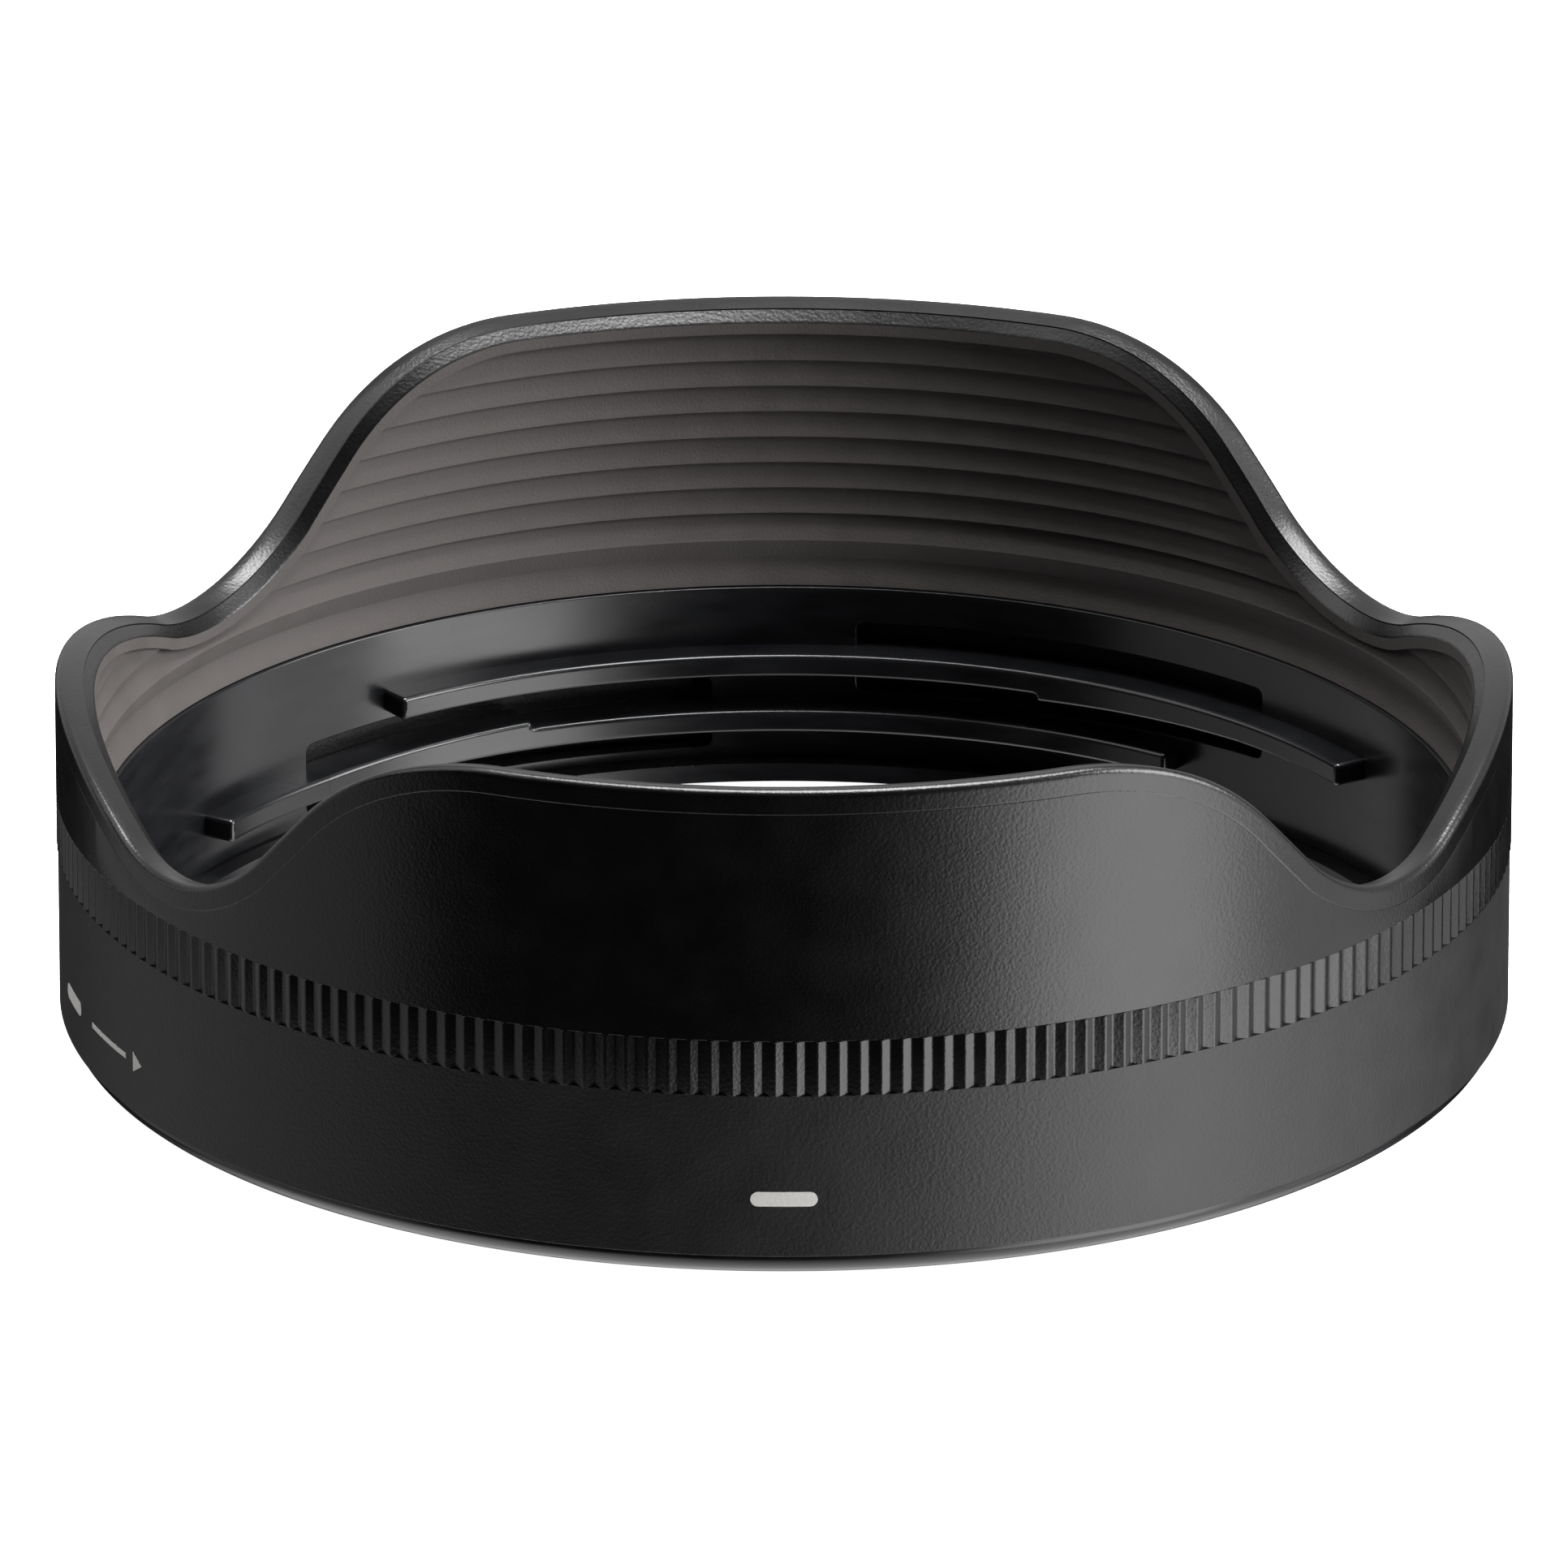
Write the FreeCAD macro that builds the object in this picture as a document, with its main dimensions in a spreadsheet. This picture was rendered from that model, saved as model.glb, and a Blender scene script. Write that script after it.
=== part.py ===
import FreeCAD, Part
import Sketcher

import math
import os
import re

from FreeCAD import Placement, Rotation, Vector

# Petal lens hood for a wide-angle lens, with a two-level bayonet ring.
#
# Frame: the origin is the centre of the rear opening, on the plane of the rear
# face.  +Z points to the front of the lens.  The long petals lie on the Y axis
# (the front one at -Y) and the short petals on the X axis.  Azimuths run from
# +Y towards +X.  All sizes are in millimetres or degrees.

SIZES = {
    # whole hood
    "outer_dia": 79.0,
    "total_height": 27.6,
    # outline of the petals, drawn on the unrolled barrel
    "crest_half_angle": 23.0,
    "crest_radius": 17.0,
    "flank_slope": 45.0,
    "valley_radius": 12.56,
    "valley_height": 15.92,
    "side_petal_height": 19.95,
    # section of the rim: inner bevel, soft shoulder, outer corner
    "rim_wall": 2.15,
    "bevel_width": 0.56,
    "bevel_foot_drop": 0.96,
    "bevel_top_drop": 0.34,
    "shoulder_width": 1.2,
    "shoulder_drop": 0.12,
    "corner_width": 0.4,
    "corner_width_low": 0.15,
    "corner_drop": 0.11,
    "corner_foot_drop": 0.4,
    "lip_drop": 1.62,
    # light-trap steps and the plain band behind them
    "step_pitch": 1.505,
    "step_count": 7,
    "first_step": 15.35,
    "step_depth": 0.4,
    "step_tip_dia": 75.1,
    "ledge_top": 13.85,
    "ledge_dia": 74.8,
    "band_top": 12.65,
    "band_dia": 75.5,
    "band_foot_dia": 74.9,
    # grip ring
    "grip_bottom": 10.45,
    "grip_height": 3.1,
    "grip_bore_dia": 77.5,
    "ridge_count": 220,
    "ridge_depth": 0.2,
    "ridge_rise_share": 0.54,
    "ridge_crest_share": 0.06,
    # rear skirt and the spigot that centres it
    "skirt_dia": 78.86,
    "skirt_bore_dia": 76.8,
    "skirt_bottom": 1.35,
    "spigot_bottom": 9.35,
    # bayonet ring
    "ring_top": 11.15,
    "ring_bore_dia": 73.9,
    "ring_wall": 0.9,
    "flange_dia": 78.28,
    "bead_width": 1.4,
    "lip_dia": 71.4,
    "lip_top": 1.1,
    "edge_chamfer": 0.12,
    # bayonet rails, windows and spring arms
    "rail_depth": 1.8,
    "rail_height": 1.3,
    "low_rail_bottom": 3.15,
    "rail_pitch": 3.3,
    "rail_short_angle": 37.0,
    "rail_long_angle": 60.0,
    "window_start": 6.3,
    "window_end": 45.8,
    "window_gap": 1.4,
    "arm_step_angle": 23.5,
    "step_gap_angle": 1.5,
    "arm_step": 0.4,
    "arm_end_gap": 0.1,
    # how far cutting shapes stand out past what they cut
    "cut_margin": 0.5,
    "rim_allowance": 2.0,
    # printed marks, let into the skirt
    "mark_depth": 0.18,
    "mark_proud": 0.02,
    "index_height": 4.65,
    "lock_height": 4.25,
    "dash_length": 3.56,
    "dash_height": 0.82,
    "shaft_length": 5.0,
    "shaft_height": 0.3,
    "arrow_radius": 0.66,
    "index_azimuth": 180.0,
    "lock_dash_azimuth": 256.6,
    "shaft_azimuth": 247.2,
    "arrow_azimuth": 241.8,
}

RIM_POINTS = 72
CUT_TOP = 32.0
CUT_INNER_RADIUS = 34.0
CUT_OUTER_RADIUS = 41.0
MARK_REACH = 7.0

doc = FreeCAD.newDocument("lens_hood")


def make_sheet():
    """Put the driving dimensions into a spreadsheet, one alias per row."""
    sheet = doc.addObject("Spreadsheet::Sheet", "Sizes")
    for row, (alias, value) in enumerate(SIZES.items(), start=1):
        sheet.set(f"A{row}", alias)
        sheet.set(f"B{row}", str(value))
        sheet.setAlias(f"B{row}", alias)
    doc.recompute()
    return sheet


SHEET = make_sheet()


def size(alias):
    """Value of one cell of the spreadsheet."""
    return float(SHEET.get(alias))


def cells(expression):
    """Turn the plain aliases of an expression into references to the sheet."""
    def reference(match):
        word = match.group()
        return f"Sizes.{word}" if word in SIZES else word
    return re.sub(r"[a-z_]+", reference, expression)


def value_of(expression):
    """Number that an expression gives with the present sizes."""
    result = SHEET.evalExpression(cells(expression))
    return float(getattr(result, "Value", result))


# ---------------------------------------------------------------- building blocks


def revolved_body(name, corners):
    """Body of revolution about Z; corners are (radius, height) expressions."""
    body = doc.addObject("PartDesign::Body", name)
    body.Label = name
    sketch = body.newObject("Sketcher::SketchObject", name + "_section")
    plane = next(item for item in body.Origin.OriginFeatures if item.Role == "XZ_Plane")
    sketch.AttachmentSupport = [(plane, "")]
    sketch.MapMode = "FlatFace"
    places = [Vector(value_of(radius), value_of(height), 0) for radius, height in corners]
    count = len(corners)
    for index in range(count):
        line = Part.LineSegment(places[index], places[(index + 1) % count])
        sketch.addGeometry(line, False)
    for index in range(count):
        after = (index + 1) % count
        sketch.addConstraint(Sketcher.Constraint("Coincident", index, 2, after, 1))
    for index, (radius, height) in enumerate(corners):
        bind_point(sketch, index, "DistanceX", places[index].x, radius)
        bind_point(sketch, index, "DistanceY", places[index].y, height)
    turn = body.newObject("PartDesign::Revolution", name + "_turn")
    turn.Profile = sketch
    turn.ReferenceAxis = (sketch, ["V_Axis"])
    turn.Angle = 360.0
    body.Tip = turn
    return body


def bind_point(sketch, index, kind, value, expression):
    """Hold the start of one line at a distance from the origin, set by the sheet."""
    number = sketch.addConstraint(Sketcher.Constraint(kind, -1, 1, index, 1, value))
    sketch.setExpression(f"Constraints[{number}]", cells(expression))


def sector(name, inner, outer, bottom, height, start, end):
    """Annular sector from azimuth start to end; every argument is an expression."""
    solids = []
    for suffix, radius in (("_outer", outer), ("_inner", inner)):
        slice_of_disc = doc.addObject("Part::Cylinder", name + suffix)
        slice_of_disc.setExpression("Radius", cells(radius))
        slice_of_disc.setExpression("Height", cells(height))
        slice_of_disc.setExpression("Angle", cells(f"({end}) - ({start})"))
        slice_of_disc.setExpression("Placement.Base.z", cells(bottom))
        slice_of_disc.setExpression("Placement.Rotation.Angle", cells(f"90 - ({end})"))
        solids.append(slice_of_disc)
    return boolean("Part::Cut", name, solids[0], solids[1])


def boolean(kind, name, base, tool):
    """Part::Cut or Part::Common of two objects."""
    result = doc.addObject(kind, name)
    result.Base = base
    result.Tool = tool
    result.Label = name
    return result


def fused(name, shapes):
    """Part::MultiFuse of several objects, with the seams between them removed."""
    result = doc.addObject("Part::MultiFuse", name)
    result.Shapes = shapes
    result.Refine = True
    result.Label = name
    return result


# ---------------------------------------------------------------- petal barrel


def rim_outline(azimuth):
    """Height of the rim at an azimuth, and how steep the rim runs there.

    The outline is drawn on the unrolled barrel: flat crest, crest arc, straight
    flank, valley arc and the wide arc of the short petal, each tangent to the
    next.  The second value is 1 / cos(slope), which turns a distance square to
    the rim into a vertical one.
    """
    radius = size("outer_dia") / 2
    crest, valley = size("crest_radius"), size("valley_radius")
    slope = math.radians(size("flank_slope"))
    top, low, side = size("total_height"), size("valley_height"), size("side_petal_height")

    crest_start = radius * math.radians(size("crest_half_angle"))
    flank_start = crest_start + crest * math.sin(slope)
    flank_top = top - crest * (1 - math.cos(slope))
    flank_foot = low + valley * (1 - math.cos(slope))
    valley_start = flank_start + (flank_top - flank_foot) / math.tan(slope)
    valley_middle = valley_start + valley * math.sin(slope)
    side_middle = radius * math.pi / 2
    turn = 2 * math.atan((side - low) / (side_middle - valley_middle))
    side_arc = (side_middle - valley_middle) / math.sin(turn) - valley
    side_start = valley_middle + valley * math.sin(turn)

    from_axis = abs((azimuth + 90.0) % 180.0 - 90.0)
    along = radius * math.radians(from_axis)
    if along <= crest_start:
        return top, 1.0
    if along <= flank_start:
        rise = math.sqrt(crest ** 2 - (along - crest_start) ** 2)
        return top - crest + rise, crest / rise
    if along <= valley_start:
        return flank_top - (along - flank_start) * math.tan(slope), 1 / math.cos(slope)
    if along <= side_start:
        rise = math.sqrt(valley ** 2 - (along - valley_middle) ** 2)
        return low + valley - rise, valley / rise
    rise = math.sqrt(side_arc ** 2 - (side_middle - along) ** 2)
    return side - side_arc + rise, side_arc / rise


def closed_edge(radius, height_at):
    """Smooth closed curve round the axis; height_at gives its height at an azimuth."""
    points = []
    for index in range(RIM_POINTS):
        azimuth = 360.0 * index / RIM_POINTS
        angle = math.radians(azimuth)
        across, along = radius * math.sin(angle), radius * math.cos(angle)
        points.append(Vector(across, along, height_at(azimuth)))
    curve = Part.BSplineCurve()
    curve.interpolate(Points=points, PeriodicFlag=True)
    return curve.toShape()


def rim_edge(radius, drop):
    """Closed curve that follows the rim at a distance below it."""
    def height_at(azimuth):
        height, stretch = rim_outline(azimuth)
        return height - drop * stretch
    return closed_edge(radius, height_at)


def level_edge(radius):
    """Closed level curve above the whole hood."""
    return closed_edge(radius, lambda azimuth: CUT_TOP)


def rim_cutter(name, section):
    """Solid of everything above the rim; section lists (radius, drop) outwards."""
    edges = [rim_edge(radius, drop) for radius, drop in section]
    edges.append(level_edge(section[-1][0]))
    edges.append(level_edge(section[0][0]))
    faces = []
    for index, edge in enumerate(edges):
        after = edges[(index + 1) % len(edges)]
        faces.append(Part.makeRuledSurface(edge, after))
    shell = Part.makeShell(faces)
    shell.sewShape()
    cutter = Part.Solid(shell)
    if cutter.Volume < 0:
        cutter.reverse()
    feature = doc.addObject("Part::Feature", name)
    feature.Shape = cutter
    feature.Label = name
    return feature


def carried_on(first, second, radius):
    """Point at a radius on the straight line through two (radius, drop) points."""
    slope = (second[1] - first[1]) / (second[0] - first[0])
    return radius, first[1] + slope * (radius - first[0])


def rim_section():
    """Section of the rim from inside outwards, its end lines carried past the wall."""
    outer = size("outer_dia") / 2
    inner = outer - size("rim_wall")
    bevel_foot = (inner, size("bevel_foot_drop"))
    bevel_top = (inner + size("bevel_width"), size("bevel_top_drop"))
    shoulder = (inner + size("shoulder_width"), size("shoulder_drop"))
    crown = (outer - size("corner_width"), 0.0)
    corner = (outer - size("corner_width_low"), size("corner_drop"))
    corner_foot = (outer, size("corner_foot_drop"))
    return [
        carried_on(bevel_foot, bevel_top, CUT_INNER_RADIUS),
        bevel_top,
        shoulder,
        crown,
        corner,
        carried_on(corner, corner_foot, CUT_OUTER_RADIUS),
    ]


def make_petal_barrel():
    """Front of the hood: petals outside, light-trap steps inside."""
    rim = rim_cutter("rim_cutter", rim_section())
    lip = rim_cutter("lip_cutter", [
        (CUT_INNER_RADIUS, size("lip_drop")),
        (CUT_OUTER_RADIUS, size("lip_drop")),
    ])
    blank = revolved_body("barrel_blank", [
        ("ring_bore_dia / 2 + ring_wall", "spigot_bottom"),
        ("skirt_bore_dia / 2", "spigot_bottom"),
        ("skirt_bore_dia / 2", "grip_bottom"),
        ("grip_bore_dia / 2", "grip_bottom"),
        ("grip_bore_dia / 2", "grip_bottom + grip_height"),
        ("outer_dia / 2", "grip_bottom + grip_height"),
        ("outer_dia / 2", "total_height + rim_allowance"),
        ("outer_dia / 2 - rim_wall", "total_height + rim_allowance"),
        ("outer_dia / 2 - rim_wall", "ledge_top + edge_chamfer"),
        ("ledge_dia / 2", "ledge_top"),
        ("band_dia / 2", "band_top"),
        ("band_foot_dia / 2", "ring_top"),
        ("ring_bore_dia / 2 + ring_wall", "ring_top"),
    ])
    corners = [
        ("ring_bore_dia / 2 - rail_depth", "ledge_top"),
        ("ledge_dia / 2", "ledge_top"),
    ]
    for index in range(int(size("step_count"))):
        height = f"first_step + {index} * step_pitch"
        corners.append(("step_tip_dia / 2 + step_depth", height))
        corners.append(("step_tip_dia / 2", height))
    corners.append(("step_tip_dia / 2 + step_depth", "first_step + step_count * step_pitch"))
    corners.append(("step_tip_dia / 2 + step_depth", "total_height + rim_allowance"))
    corners.append(("ring_bore_dia / 2 - rail_depth", "total_height + rim_allowance"))
    steps = revolved_body("step_space", corners)
    trimmed = boolean("Part::Cut", "barrel_trimmed", blank, rim)
    hollow = boolean("Part::Cut", "step_hollow", steps, lip)
    return boolean("Part::Cut", "petal_barrel", trimmed, hollow)


# ---------------------------------------------------------------- grip ring and skirt


def make_grip_ring():
    """Ring of fine ridges, a little steeper on one flank than on the other."""
    crest = size("outer_dia") / 2
    root = crest - size("ridge_depth")
    count = int(size("ridge_count"))
    pitch = 2 * math.pi / count
    rise, flat = size("ridge_rise_share"), size("ridge_crest_share")
    shape_of_ridge = ((0.0, root), (rise, crest), (rise + flat, crest))
    points = []
    for index in range(count):
        for share, radius in shape_of_ridge:
            angle = (index + share) * pitch
            points.append(Vector(radius * math.cos(angle), radius * math.sin(angle), 0))
    points.append(points[0])
    outline = Part.Face(Part.makePolygon(points))
    height = size("grip_height")
    ring = outline.extrude(Vector(0, 0, height))
    ring = ring.cut(Part.makeCylinder(size("grip_bore_dia") / 2, height))
    feature = doc.addObject("Part::Feature", "grip_ring")
    feature.Shape = ring
    feature.Label = "grip_ring"
    feature.Placement = Placement(Vector(0, 0, size("grip_bottom")), Rotation())
    return feature


def make_skirt_blank():
    """Plain outer sleeve behind the grip ring."""
    return revolved_body("skirt_blank", [
        ("skirt_bore_dia / 2", "skirt_bottom"),
        ("skirt_dia / 2 - edge_chamfer", "skirt_bottom"),
        ("skirt_dia / 2", "skirt_bottom + edge_chamfer"),
        ("skirt_dia / 2", "grip_bottom"),
        ("skirt_bore_dia / 2", "grip_bottom"),
    ])


# ---------------------------------------------------------------- printed marks


def turned(azimuth, height):
    """Placement that swings something drawn facing +Y round to an azimuth."""
    return Placement(Vector(0, 0, height), Rotation(Vector(0, 0, 1), -azimuth))


def dash_block(name, azimuth, height):
    """Block with half-round ends, standing through the skirt at an azimuth."""
    place = turned(size(azimuth), size(height))
    half = (size("dash_length") - size("dash_height")) / 2
    bar = doc.addObject("Part::Box", name + "_bar")
    bar.setExpression("Length", cells("dash_length - dash_height"))
    bar.setExpression("Width", str(MARK_REACH))
    bar.setExpression("Height", cells("dash_height"))
    corner = Vector(-half, CUT_INNER_RADIUS, -size("dash_height") / 2)
    bar.Placement = place * Placement(corner, Rotation())
    pieces = [bar]
    for side in (-1, 1):
        end = doc.addObject("Part::Cylinder", f"{name}_end_{side + 1}")
        end.setExpression("Radius", cells("dash_height / 2"))
        end.setExpression("Height", str(MARK_REACH))
        lying = Rotation(Vector(1, 0, 0), -90)
        end.Placement = place * Placement(Vector(side * half, CUT_INNER_RADIUS, 0), lying)
        pieces.append(end)
    return fused(name, pieces)


def shaft_block(name, azimuth):
    """Thin bar that stands for the tail of the arrow."""
    bar = doc.addObject("Part::Box", name)
    bar.setExpression("Length", cells("shaft_length"))
    bar.setExpression("Width", str(MARK_REACH))
    bar.setExpression("Height", cells("shaft_height"))
    corner = Vector(-size("shaft_length") / 2, CUT_INNER_RADIUS, -size("shaft_height") / 2)
    bar.Placement = turned(size(azimuth), size("lock_height")) * Placement(corner, Rotation())
    return bar


def arrow_block(name, azimuth):
    """Three-sided prism, its point towards smaller azimuths."""
    head = doc.addObject("Part::Prism", name)
    head.Polygon = 3
    head.setExpression("Circumradius", cells("arrow_radius"))
    head.setExpression("Height", str(MARK_REACH))
    lying = Rotation(Vector(1, 0, 0), -90) * Rotation(Vector(0, 0, 1), 180)
    place = turned(size(azimuth), size("lock_height"))
    head.Placement = place * Placement(Vector(0, CUT_INNER_RADIUS, 0), lying)
    return head


def mark_sleeve(name, outer):
    """Thin sleeve that the marks are cut from, or that their pockets reach into."""
    inner = "skirt_dia / 2 - mark_depth"
    return sector(name, inner, outer, "skirt_bottom", "grip_bottom - skirt_bottom", "0", "360")


def make_marks_and_skirt():
    """Index dash, lock marks, and the skirt with a pocket for each of them."""
    index = dash_block("index_block", "index_azimuth", "index_height")
    lock = fused("lock_blocks", [
        dash_block("lock_dash_block", "lock_dash_azimuth", "lock_height"),
        shaft_block("lock_shaft_block", "shaft_azimuth"),
        arrow_block("lock_arrow_block", "arrow_azimuth"),
    ])
    sleeve = mark_sleeve("mark_sleeve", "skirt_dia / 2 + mark_proud")
    boolean("Part::Common", "index_mark", index, sleeve)
    boolean("Part::Common", "lock_marks", lock, sleeve)
    blocks = fused("all_blocks", [index, lock])
    pockets = boolean("Part::Common", "mark_pockets", blocks, mark_sleeve("pocket_sleeve", "skirt_dia"))
    boolean("Part::Cut", "rear_skirt", make_skirt_blank(), pockets)


# ---------------------------------------------------------------- bayonet ring


def mirrored_range(level, start, end):
    """Azimuth range of the upper level as it is, of the lower level mirrored."""
    if level == "upper":
        return start, end
    return f"-({end})", f"-({start})"


def rail_bottom(level):
    """Height of a level's rails above the rear face."""
    return "low_rail_bottom + rail_pitch" if level == "upper" else "low_rail_bottom"


def stepped_sector(name, level, turn, radii, gap, ends):
    """Rail-shaped sector that gets thicker beyond its step.

    The extra thickness goes downwards on the upper level and upwards on the
    lower one.  radii is (inner, outer), gap is added above and below, ends is
    (start, step, end); all of them are expressions.
    """
    low = f"{rail_bottom(level)} - {gap}"
    tall = f"rail_height + 2 * {gap}"
    thick_low = f"{low} - arm_step" if level == "upper" else low
    start, step, end = ends
    pieces = []
    for suffix, bottom, height, first, last in (
        ("_thin", low, tall, start, step),
        ("_thick", thick_low, f"{tall} + arm_step", step, end),
    ):
        first, last = mirrored_range(level, first, last)
        pieces.append(sector(
            name + suffix, radii[0], radii[1], bottom, height, f"{first} + {turn}", f"{last} + {turn}",
        ))
    return fused(name, pieces)


def make_window(name, level, turn):
    """Opening in the ring that one arm springs in."""
    radii = ("ring_bore_dia / 2 - rail_depth - cut_margin", "ring_bore_dia / 2 + ring_wall + cut_margin")
    ends = ("window_start", "arm_step_angle - step_gap_angle", "window_end")
    return stepped_sector(name, level, turn, radii, "window_gap", ends)


def make_arm(name, level, turn):
    """Stretch of rail that spans a window and can spring outwards."""
    radii = ("ring_bore_dia / 2 - rail_depth", "ring_bore_dia / 2 + ring_wall")
    ends = ("window_start + arm_end_gap", "arm_step_angle", "window_end - arm_end_gap")
    return stepped_sector(name, level, turn, radii, "0", ends)


def bead_corners(steps=6):
    """Rounded outer edge of the rear flange, as a few chords."""
    corners = []
    for step in range(steps + 1):
        angle = 90 * step / steps
        corners.append((
            f"flange_dia / 2 - bead_width + bead_width * sin({angle} deg)",
            f"skirt_bottom * (1 - cos({angle} deg))",
        ))
    return corners


def make_mount_ring():
    """Inner ring with the bayonet rails, a rear bead and four windows."""
    sleeve = revolved_body("ring_sleeve", [("lip_dia / 2", "0")] + bead_corners() + [
        ("ring_bore_dia / 2 + ring_wall", "skirt_bottom"),
        ("ring_bore_dia / 2 + ring_wall", "ring_top"),
        ("ring_bore_dia / 2 + edge_chamfer", "ring_top"),
        ("ring_bore_dia / 2", "ring_top - edge_chamfer"),
        ("ring_bore_dia / 2", "lip_top"),
        ("lip_dia / 2", "lip_top"),
    ])
    rails = []
    windows = []
    for level in ("upper", "lower"):
        start, end = mirrored_range(level, "-rail_short_angle", "rail_long_angle")
        for turn in (0, 180):
            rails.append(sector(
                f"rail_{level}_{turn}",
                "ring_bore_dia / 2 - rail_depth", "ring_bore_dia / 2 + ring_wall / 2",
                rail_bottom(level), "rail_height", f"{start} + {turn}", f"{end} + {turn}",
            ))
            windows.append(make_window(f"window_{level}_{turn}", level, turn))
    solid_ring = fused("ring_with_rails", [sleeve] + rails)
    return boolean("Part::Cut", "mount_ring", solid_ring, fused("all_windows", windows))


def make_arms():
    """One arm for each window, named after where it sits."""
    places = {
        "arm_upper_rear_right": ("upper", 0),
        "arm_upper_front_left": ("upper", 180),
        "arm_lower_rear_left": ("lower", 0),
        "arm_lower_front_right": ("lower", 180),
    }
    for name, (level, turn) in places.items():
        make_arm(name, level, turn)
    return list(places)


# ---------------------------------------------------------------- checks and export


def check_and_export(nodes):
    """Stop on any failed object, then write one STEP file for each node."""
    doc.recompute()
    for item in doc.Objects:
        if "Invalid" in item.State or "Error" in item.State:
            raise RuntimeError(f"{item.Name} failed: {item.State}")
    os.makedirs("parts", exist_ok=True)
    for name in nodes:
        node = next(item for item in doc.Objects if item.Label == name)
        if node.Shape.isNull() or not node.Shape.isValid():
            raise RuntimeError(f"{name} has no valid shape")
        node.Shape.exportStep(f"parts/{name}.step")
        box = node.Shape.BoundBox
        print(f"{name:24s} solids {len(node.Shape.Solids)} volume {node.Shape.Volume:9.2f} mm3"
              f"  z {box.ZMin:.2f} to {box.ZMax:.2f}  radius {box.XMax:.2f}")


make_petal_barrel()
make_grip_ring()
make_marks_and_skirt()
make_mount_ring()
check_and_export(
    ["petal_barrel", "grip_ring", "rear_skirt", "mount_ring", "index_mark", "lock_marks"]
    + make_arms()
)
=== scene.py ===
import math

import bmesh
import bpy
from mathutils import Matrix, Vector


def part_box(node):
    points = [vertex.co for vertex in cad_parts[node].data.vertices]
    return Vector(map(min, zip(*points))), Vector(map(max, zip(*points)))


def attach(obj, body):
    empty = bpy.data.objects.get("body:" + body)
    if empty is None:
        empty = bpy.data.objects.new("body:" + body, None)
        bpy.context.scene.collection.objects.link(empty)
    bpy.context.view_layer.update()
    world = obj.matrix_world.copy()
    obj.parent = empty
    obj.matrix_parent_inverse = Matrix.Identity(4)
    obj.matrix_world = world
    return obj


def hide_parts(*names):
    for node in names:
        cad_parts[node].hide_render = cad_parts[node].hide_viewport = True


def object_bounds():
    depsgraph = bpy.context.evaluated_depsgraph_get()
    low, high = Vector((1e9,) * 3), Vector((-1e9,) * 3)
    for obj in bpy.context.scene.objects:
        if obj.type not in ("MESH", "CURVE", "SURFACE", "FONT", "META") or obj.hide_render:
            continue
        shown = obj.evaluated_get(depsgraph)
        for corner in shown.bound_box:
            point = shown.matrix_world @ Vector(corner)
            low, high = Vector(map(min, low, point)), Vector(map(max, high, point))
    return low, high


# Looks for the petal lens hood.  Shapes are worked out in millimetres in the CAD
# frame (Z along the lens axis, front petal at -Y) and scaled to metres when a mesh
# is made.  Azimuths are in degrees and run from +Y towards +X, as in the CAD.
# The scene's own lengths, for the camera, the lamps and the floor, are in metres.

MM = 0.001

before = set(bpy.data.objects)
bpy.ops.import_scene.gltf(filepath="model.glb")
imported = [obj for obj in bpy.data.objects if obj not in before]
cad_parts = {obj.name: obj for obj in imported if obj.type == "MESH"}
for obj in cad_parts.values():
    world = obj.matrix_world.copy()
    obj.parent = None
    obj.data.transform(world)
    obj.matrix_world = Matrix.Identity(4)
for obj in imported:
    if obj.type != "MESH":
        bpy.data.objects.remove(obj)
CAD_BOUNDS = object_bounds()


def box_mm(node):
    """Lowest and highest corner of a CAD node, in millimetres."""
    low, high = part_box(node)
    return low / MM, high / MM


# ---------------------------------------------------------------- sizes

GRIP_LOW, GRIP_HIGH = box_mm("grip_ring")
SKIRT_LOW, SKIRT_HIGH = box_mm("rear_skirt")
RING_HIGH = box_mm("mount_ring")[1]
UPPER_RAIL_TOP = box_mm("arm_upper_rear_right")[1].z
LOWER_RAIL_FOOT = box_mm("arm_lower_rear_left")[0].z

OUTER = GRIP_HIGH.x
TOP = box_mm("petal_barrel")[1].z

# Rim line of the petals, drawn on the unrolled outer wall.
CREST_HALF_ANGLE = 23.0
CREST_RADIUS = 17.0
FLANK_SLOPE = math.radians(45.0)
VALLEY_RADIUS = 12.56
VALLEY_HEIGHT = 15.92
SIDE_HEIGHT = 19.95

# Rim profile: rounded outer corner, groove below it, and a lip inside.
WALL = 2.15
RIM_CORNER = 0.4
LIP_START = 0.97
LIP_DROP = 1.62
GROOVE_DROP = 1.32
GROOVE_HALF = 0.045
GROOVE_DEPTH = 0.02

# Light-trap steps and the ledge and band under them.
STEP_TIP = 37.55
STEP_DEPTH = 0.4
STEP_PITCH = 1.505
STEP_COUNT = 7
FIRST_STEP = 15.35
STEP_SOFTNESS = 0.04
LEDGE_RADIUS = 37.35
LEDGE_HEIGHT = 13.8
BAND_TOP_RADIUS = 37.8
BAND_TOP_HEIGHT = 12.65
BAND_FOOT_RADIUS = 37.2
SEAT_HEIGHT = 9.4
SEAT_RADIUS = 38.35

# Sections round the whole barrel, and round the plainer rings.
BARREL_SECTIONS = 1440
PLAIN_SECTIONS = 720

# Grip band and skirt.
RIDGE_COUNT = 220
RIDGE_DEPTH = 0.2
GRIP_INNER = 38.8
SKIRT_INNER = 38.4

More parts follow.
